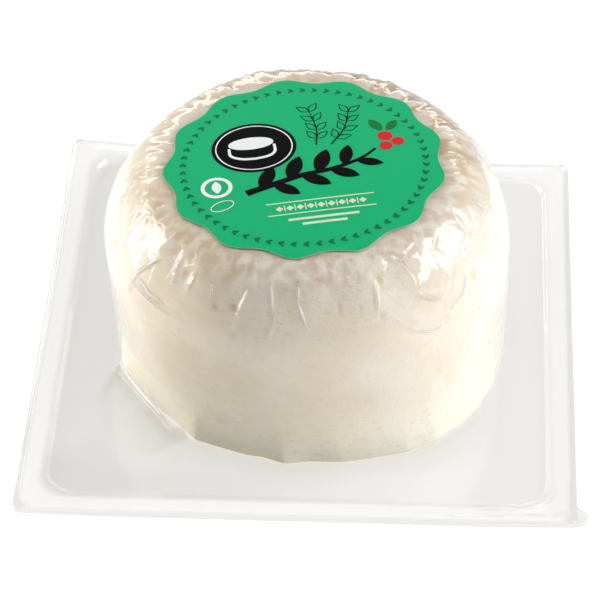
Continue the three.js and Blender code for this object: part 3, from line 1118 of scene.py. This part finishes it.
def cheese_finish():
    """Moist cream-white curd: paler and warmer patches, pits and a mottled rim darkened partly by painted
    shade, fine pores, and painted light that makes the curd paler towards the foot.
    """
    finish = Finish("cheese_curd")
    broad = finish.noise(45, 4)
    patches = finish.noise(170, 3, offset=(0.3, 0, 0))
    fine = finish.noise(900, 3)
    strokes = finish.step(finish.noise(480, 2, 0.5, stretch=(1, 1, 3.2), offset=(0.7, 0, 0)), 0.58, 0.68)
    specks = finish.step(finish.noise(1500, 1, offset=(0.1, 0.2, 0)), 0.7, 0.76)
    layers = [
        # Painted light: the curd is paler towards the foot
        (finish.step(-finish.height(), -25, -3), (255, 245, 221)),
        (finish.step(patches, 0.56, 0.74) * 0.25, (232, 213, 176)),
        (strokes * 0.3, (228, 208, 172)),
        (specks * 0.3, (205, 178, 140)),
        # The rim's mottle: the mould's colour, with painted shade in its dips and at the right of the back
        ((finish.attribute("rim") * 0.8).clamped(), (218, 190, 154)),
        # Painted shade in the curd pits: the deeper the pit, the darker and warmer
        ((finish.attribute("pit") * 0.75).clamped(), (212, 184, 138)),
    ]
    tone = finish.blend(finish.step(broad, 0.35, 0.68), shade(245, 235, 215), shade(238, 224, 198))
    for share, colour in layers:
        tone = finish.blend(share, tone, shade(*colour))
    grain = finish.bump(fine + patches * 1.5 - strokes * 0.8, 0.3, 0.0004)
    sockets = {
        "Base Color": tone,
        "Roughness": 0.5,
        "Subsurface Weight": 0.25,
        "Subsurface Radius": (1.0, 0.72, 0.45),
        "Subsurface Scale": 0.003,
        "IOR": 1.4,
        "Normal": grain,
    }
    return finish.principled(sockets)


# The clear plastic: how much its folds shine, how soft the low wall's gloss is, and its fine relief in
# millimetres. The facets' tilt has no unit.
FOLD_GLOSS = 0.21
SOFT_GLOSS = 0.2
FOLD_WIDTH = 0.42
PINCH = 0.36
UNEVEN = 0.05
UNEVEN_BACK = 0.1
FACET_SIZE = 6.6
FACET_TILT = 0.2
FACET_LINE = 0.6
FACET_DENT = 0.09

# Heights of the skin in millimetres between which the fine lines, the back rim's unevenness and the soft
# gloss come in, and between which the lines and the soft gloss go out again
LINES_IN, LINES_OUT = (26, 36), (57, 59.5)
BACK_RIM_IN = (53, 58)
SOFT_IN, SOFT_OUT = (2, 4), (46, 53)


def clear_finish(name, tints, roughness, gloss, relief):
    """Clear plastic: what is behind shows through a tint, and a gloss that grows towards grazing angles.
    relief(finish) gives the normal, how much more the plastic shines in its folds, where its second,
    darker tint shows, and where its gloss is soft."""
    finish = Finish(name)
    normal, folded, darker, soft = relief(finish)
    if soft is not None:
        roughness = soft * SOFT_GLOSS + roughness
    facing_node = finish.node("ShaderNodeLayerWeight", None, {"Blend": 0.5, "Normal": normal})
    facing = finish.value(facing_node.outputs["Facing"])
    share = facing**5 * (1 - gloss) + gloss
    if folded is not None:
        share = share + folded * FOLD_GLOSS
    clearer, dimmer = [finish.node("ShaderNodeBsdfTransparent", None, {"Color": tint}) for tint in tints]
    sockets = {"Color": (1, 1, 1, 1), "Roughness": roughness, "Normal": normal}
    shine = finish.node("ShaderNodeBsdfGlossy", None, sockets)
    return finish.surface(finish.mixed(share, finish.mixed(darker, clearer, dimmer), shine))


def film_folds(finish, part):
    """The skin's fine relief: a sharp pinch along each crease and a faint unevenness everywhere, fine lines
    on the shoulder, and flat facets with hard lines between them where it is crumpled."""
    beside = finish.attribute("beside") / FOLD_WIDTH
    folded = (1 - beside * beside).clamped() ** 2 * finish.attribute("fold")
    rise = folded * PINCH
    uneven = finish.noise(430, 2, 0.55)
    if part == "low":
        rise = rise + uneven * UNEVEN
    else:
        shoulder = finish.step(finish.height(), *LINES_IN) * (1 - finish.step(finish.height(), *LINES_OUT))
        patches = finish.step(finish.noise(42, 2), 0.5, 0.62)
        lines = 1 - ((finish.noise(130, 1, 0.4, stretch=(1, 1, 0.55)) - 0.5).absolute() / 0.022).clamped()
        back = finish.step(finish.height(), *BACK_RIM_IN) * finish.step(finish.height(1), -25, 5)
        rise = rise + lines * patches * shoulder * 0.07 + uneven * (UNEVEN + UNEVEN_BACK * back)
    if part == "crumpled":
        crumple = finish.attribute("crumple")
        cells, to_line = finish.facets(1 / (FACET_SIZE * MM), (1, 1, 0.7))
        edge = (1 - to_line * (FACET_SIZE / FACET_LINE)).clamped()
        rise = rise + (cells * FACET_TILT - edge * FACET_DENT) * crumple
        folded = folded + crumple * 0.08
    soft = finish.step(finish.height(), *SOFT_IN) * (1 - finish.step(finish.height(), *SOFT_OUT))
    soft = soft * (1 - folded * 5).clamped()
    return finish.bump(rise, 1.0, MM), folded, finish.attribute("haze_and_shadow"), soft


def sheet_ripples(finish):
    """The faint unevenness of the formed sheet."""
    return finish.bump(finish.noise(110, 2, 0.5), 0.25, 0.0008), None, finish.attribute("tone"), None


def paper_finish(name, colour, gloss=0.13):
    """Satin print on paper: its colour barely mottled by the fibres below it."""
    finish = Finish(name)
    fibre = finish.noise(2400, 3)
    cloud = finish.noise(150, 3)
    lighter = tuple(min(1, part * 1.1 + 0.002) for part in colour[:3]) + (1,)
    darker = tuple(part * 0.9 for part in colour[:3]) + (1,)
    tone = finish.blend((fibre * 0.6 + cloud * 0.4).clamped(), darker, lighter)
    sockets = {
        "Base Color": tone,
        "Roughness": 0.55,
        "Specular IOR Level": gloss,
        "Normal": finish.bump(fibre, 0.08, 0.0002),
    }
    return finish.principled(sockets)


# The stage: floor, lights and camera


# The middle of the floor's painted pool of light, and how far below the ground the floor lies
BRIGHT_AT = (0, -0.14, 0)
FLOOR_DROP = 0.00005


def floor_stage():
    """A glowing floor, painted light: a pale pool of light that is bright round the pack, lights it from
    below, and falls off into the dark of the room.
    """
    finish = Finish("glowing_floor")
    reach = finish.vector("DISTANCE", finish.coordinates, BRIGHT_AT)["Value"]
    away = 1 - finish.step(1 / finish.value(reach), 1.5, 3.4)
    away = (away + finish.step(finish.height(1), 165, 330)).clamped()
    sockets = {"Roughness": 0.9, "Specular IOR Level": 0.0, "Emission Strength": 0.88}
    sockets["Base Color"] = finish.blend(away, (0.27, 0.27, 0.27, 1), (0.06, 0.06, 0.06, 1))
    sockets["Emission Color"] = finish.blend(away, (1, 0.985, 0.955, 1), (0.26, 0.25, 0.235, 1))
    material = finish.principled(sockets)
    maker = bmesh.new()
    bmesh.ops.create_grid(maker, x_segments=1, y_segments=1, size=6)
    bmesh.ops.translate(maker, verts=maker.verts[:], vec=(0, 0, -FLOOR_DROP))
    meshed("floor", maker, [material])


def direction(azimuth, elevation):
    """The way to a place round the object: azimuth 0 is the front and 90 the right."""
    turn, climb = radians(azimuth), radians(elevation)
    return Vector((sin(turn) * cos(climb), -cos(turn) * cos(climb), sin(climb)))


def softbox(name, azimuth, elevation, distance, width, height, watts, colour=(1, 1, 1), mirrored=True):
    """A soft light. One that isn't mirrored lights the scene, but shows in no gloss."""
    lamp = bpy.data.lights.new(name, "AREA")
    lamp.shape = "RECTANGLE"
    lamp.size = width
    lamp.size_y = height
    lamp.energy = watts
    lamp.color = colour
    light = linked(name, lamp)
    way = direction(azimuth, elevation)
    light.location = Vector((0, 0, 0.03)) + way * distance
    light.rotation_euler = way.to_track_quat("Z", "Y").to_euler()
    light.visible_glossy = mirrored


def studio_lights():
    world = bpy.data.worlds.new("studio")
    world.use_nodes = True
    tree = world.node_tree
    background = tree.nodes["Background"]
    background.inputs["Color"].default_value = (1, 0.945, 0.86, 1)
    place = tree.nodes.new("ShaderNodeTexCoord")
    parts = tree.nodes.new("ShaderNodeSeparateXYZ")
    fade = tree.nodes.new("ShaderNodeMapRange")
    fade.interpolation_type = "SMOOTHSTEP"
    for name, value in (("From Min", 0), ("From Max", 0.6), ("To Min", 0.19), ("To Max", 0.07)):
        fade.inputs[name].default_value = value
    tree.links.new(place.outputs["Generated"], parts.inputs["Vector"])
    tree.links.new(parts.outputs["Z"], fade.inputs["Value"])
    tree.links.new(fade.outputs["Result"], background.inputs["Strength"])
    bpy.context.scene.world = world
    softbox("right_fill", 73, 14, 0.98, 1.5, 1.0, 9.9, (0.93, 0.985, 1.17), mirrored=False)
    softbox("right_box", 88, 28, 0.9, 0.76, 0.52, 3.4, (0.93, 0.985, 1.12))
    softbox("right_window", 84, 47, 0.9, 0.17, 0.17, 0.6)
    softbox("left_fill", -102, 13, 0.92, 0.5, 0.58, 5.3, (0.98, 0.99, 1.05), mirrored=False)
    softbox("left_box", -102, 15, 0.85, 0.47, 0.52, 3.7, (0.98, 0.99, 1.05))
    softbox("back_box", 190, 20, 1.0, 1.4, 0.24, 3.8)
    softbox("top_box", 0, 82, 1.2, 0.9, 0.9, 2.7)
    bpy.context.scene.view_settings.view_transform = "Standard"
    bpy.context.scene.view_settings.look = "None"


# The camera that took the photograph, fitted to the sheet's corners and the drum, in metres and degrees
FRAME_PIXELS = 600
FOCAL_PIXELS = 3001
SENSOR_MM = 36
CAMERA_AT = Vector((0.02284, -0.63025, 0.57332))
CAMERA_AZIMUTH = 2.29
CAMERA_ELEVATION = 41.76
CAMERA_ROLL = 0.84


def photo_camera():
    back = direction(CAMERA_AZIMUTH, CAMERA_ELEVATION)
    right = Vector((0, 0, 1)).cross(back).normalized()
    up = back.cross(right)
    level = Matrix((right, up, back)).transposed()
    turned_by = level @ Matrix.Rotation(radians(CAMERA_ROLL), 3, "Z")
    lens = bpy.data.cameras.new("photo_camera")
    lens.sensor_width = SENSOR_MM
    lens.lens = FOCAL_PIXELS / FRAME_PIXELS * SENSOR_MM
    lens.clip_start = 0.01
    camera = linked("photo_camera", lens)
    camera.matrix_world = Matrix.Translation(CAMERA_AT) @ turned_by.to_4x4()
    bpy.context.scene.camera = camera


photo_camera()
studio_lights()
floor_stage()

# Each second tint is darker. The skin's is its milkiness and painted shade low on the wall and round the
# foot; the sheet's is painted shade
film_tints = [(0.994, 0.994, 0.992, 1), (0.885, 0.87, 0.84, 1)]
sheet_tints = [(0.987, 0.987, 0.984, 1), (0.87, 0.87, 0.866, 1)]
film_looks = [
    clear_finish("skin_" + part, film_tints, 0.075, 0.026, lambda finish, part=part: film_folds(finish, part))
    for part in ("low", "shoulder", "crumpled")
]
sheet_look = clear_finish("sheet_gloss", sheet_tints, 0.09, 0.018, sheet_ripples)
sheet_edge = clear_finish("sheet_edge", [(0.8, 0.8, 0.8, 1)] * 2, 0.3, 0.045, sheet_ripples)
cheese_piece([cheese_finish()])
sheet_piece([sheet_look, sheet_edge])
film_piece(film_looks)

label_look = paper_finish("label_green", shade(14, 179, 113))
label_piece([label_look, paper_finish("label_edge", shade(226, 226, 190))])

# Each print's lift off the paper in millimetres, its ink's name, colour and gloss
print_looks = {
    "print_wreath": (0.02, "ink_dark_green", shade(12, 112, 72), 0.13),
    "print_black": (0.03, "ink_black", (0.003, 0.003, 0.003, 1), 0.03),
    "print_cream": (0.04, "ink_cream", shade(214, 232, 190), 0.13),
    "print_white": (0.07, "ink_white", shade(240, 242, 236), 0.13),
    "print_red": (0.05, "ink_red", shade(214, 36, 40), 0.13),
    "print_leaf_green": (0.05, "ink_leaf_green", shade(8, 120, 50), 0.13),
}
prints = [Print(lift) for lift, *_ in print_looks.values()]
wreath, black, cream, white, red, leaf_green = prints
rim_print(wreath)
medal_print(black, white)
branch_print(black)
herb_print(black)
border_print(cream)
berry_print(red, leaf_green)
seal_print(white)
for flat, (name, (_, ink, colour, gloss)) in zip(prints, print_looks.items()):
    flat.laid(name, paper_finish(ink, colour, gloss))
